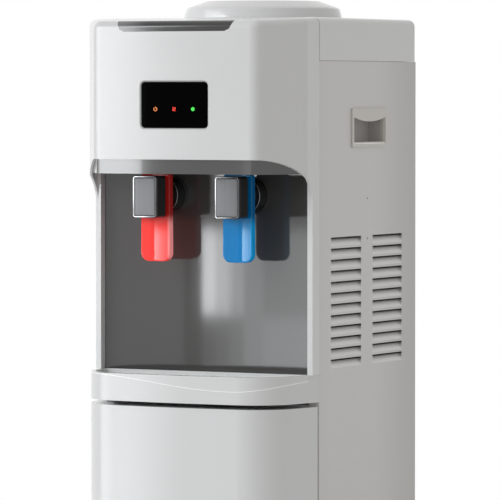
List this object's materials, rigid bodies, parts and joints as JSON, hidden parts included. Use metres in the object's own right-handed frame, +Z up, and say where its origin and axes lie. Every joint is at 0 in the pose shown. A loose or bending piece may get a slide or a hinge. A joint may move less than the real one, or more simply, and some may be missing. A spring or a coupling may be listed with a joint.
{
  "type": "top load water cooler",
  "caption": "Floor-standing top-load water cooler with hot and cold lever taps, lit display, lift-out drip tray, storage cupboard, bottle seat and cooling unit.",
  "frame": {"origin": "on the floor, under the middle of the body's width and depth", "axes": "+Z up, -Y towards the taps, +X to the right of someone facing the taps"},
  "size_m": [0.3146, 0.371, 0.97],
  "materials": {
    "white_abs": "gloss",
    "white_steel": "satin powder coat",
    "grey_plastic": "satin",
    "niche_gloss": "gloss",
    "black_gloss": "gloss",
    "handle_grey": "satin",
    "head_silver": "metallic satin",
    "dark_plastic": "satin",
    "red_lever": "translucent gloss",
    "blue_lever": "translucent gloss",
    "rubber": "matt",
    "stainless": "brushed",
    "galvanised": "galvanised",
    "copper": "drawn copper tube",
    "foam": "matt foam",
    "black_paint": "satin black",
    "pcb": "satin",
    "lamp_orange": "lit",
    "lamp_red": "lit",
    "lamp_green": "lit",
    "clear_hose": "milky silicone",
    "switch_red": "gloss",
    "switch_green": "gloss"
  },
  "bodies": {
    "cabinet": {"feet": "rubber", "base_pan": "black_paint", "plinth": "white_abs", "left_side_panel": "white_steel", "right_side_panel": "white_steel", "rear_panel": "galvanised", "deck_plate": "galvanised", "tank_shelf": "galvanised", "top_cover": "white_abs", "front_panel": "white_abs", "visor_insert": "grey_plastic", "top_trim": "head_silver", "display_window": "black_gloss", "indicator_board": "pcb", "power_indicator": "lamp_orange", "hot_indicator": "lamp_red", "cold_indicator": "lamp_green", "niche_panel": "niche_gloss", "tray_housing": "white_abs", "left_handle": "handle_grey", "right_handle": "handle_grey", "cold_tank": "stainless", "tank_foam": "foam", "evaporator_coil": "copper", "baffle": "white_abs", "hot_tank": "stainless", "heater_band": "galvanised", "thermostats": "dark_plastic", "water_hoses": "clear_hose", "drain_pipe": "stainless", "compressor": "black_paint", "compressor_mounts": "rubber", "refrigerant_lines": "copper", "condenser": "black_paint", "storage_liner": "white_abs", "upper_hinge": "galvanised", "lower_hinge": "galvanised", "hot_tap_body": "dark_plastic", "cold_tap_body": "dark_plastic", "hot_tap_head": "head_silver", "cold_tap_head": "head_silver", "pivot_pins": "stainless", "lever_springs": "stainless", "switch_housing": "dark_plastic", "mains_inlet": "dark_plastic", "case_screws": "stainless"},
    "door": {"door_panel": "white_abs", "door_liner": "white_abs", "door_gasket": "rubber"},
    "hot_lever": {"hot_lever": "red_lever"},
    "cold_lever": {"cold_lever": "blue_lever"},
    "hot_plunger": {"hot_plunger": "white_abs"},
    "cold_plunger": {"cold_plunger": "white_abs"},
    "drip_tray": {"drip_tray": "white_abs"},
    "drip_grille": {"drip_grille": "white_abs"},
    "bottle_seat": {"bottle_seat": "white_abs", "bottle_probe": "clear_hose"},
    "heater_rocker": {"heater_rocker": "switch_red"},
    "cooling_rocker": {"cooling_rocker": "switch_green"},
    "drain_cap": {"drain_cap": "rubber"}
  },
  "joints": [
    {"name": "door_hinge", "type": "hinge", "parent": "cabinet", "child": "door", "pos_m": [-0.14438, -0.0975, 0.262], "axis": [0, 0, -1], "range_deg": [0, 105]},
    {"name": "hot_lever_hinge", "type": "hinge", "parent": "cabinet", "child": "hot_lever", "pos_m": [-0.0585, -0.1182, 0.744], "axis": [1, 0, 0], "range_deg": [0, 12], "stiffness_Nm_per_rad": 0.2, "springref_deg": -5.73},
    {"name": "cold_lever_hinge", "type": "hinge", "parent": "cabinet", "child": "cold_lever", "pos_m": [0.0585, -0.1182, 0.744], "axis": [1, 0, 0], "range_deg": [0, 12], "stiffness_Nm_per_rad": 0.2, "springref_deg": -5.73},
    {"name": "hot_plunger_slide", "type": "slide", "parent": "cabinet", "child": "hot_plunger", "axis": [0, 1, 0], "range_m": [0, 0.0085]},
    {"name": "cold_plunger_slide", "type": "slide", "parent": "cabinet", "child": "cold_plunger", "axis": [0, 1, 0], "range_m": [0, 0.0085]},
    {"name": "tray_lift", "type": "slide", "parent": "cabinet", "child": "drip_tray", "axis": [0, 0, 1], "range_m": [0, 0.06]},
    {"name": "grille_lift", "type": "slide", "parent": "drip_tray", "child": "drip_grille", "axis": [0, 0, 1], "range_m": [0, 0.05]},
    {"name": "seat_lift", "type": "slide", "parent": "cabinet", "child": "bottle_seat", "axis": [0, 0, 1], "range_m": [0, 0.12]},
    {"name": "heater_rocker_hinge", "type": "hinge", "parent": "cabinet", "child": "heater_rocker", "pos_m": [-0.1125, 0.1585, 0.62], "axis": [1, 0, 0], "range_deg": [0, 16]},
    {"name": "cooling_rocker_hinge", "type": "hinge", "parent": "cabinet", "child": "cooling_rocker", "pos_m": [-0.0875, 0.1585, 0.62], "axis": [1, 0, 0], "range_deg": [0, 16]},
    {"name": "drain_cap_pull", "type": "slide", "parent": "cabinet", "child": "drain_cap", "axis": [0, 1, 0], "range_m": [0, 0.03]}
  ],
  "couplings": [
    {"joint": "hot_plunger_slide", "follows": "hot_lever_hinge", "m_per_rad": 0.04},
    {"joint": "cold_plunger_slide", "follows": "cold_lever_hinge", "m_per_rad": 0.04}
  ]
}
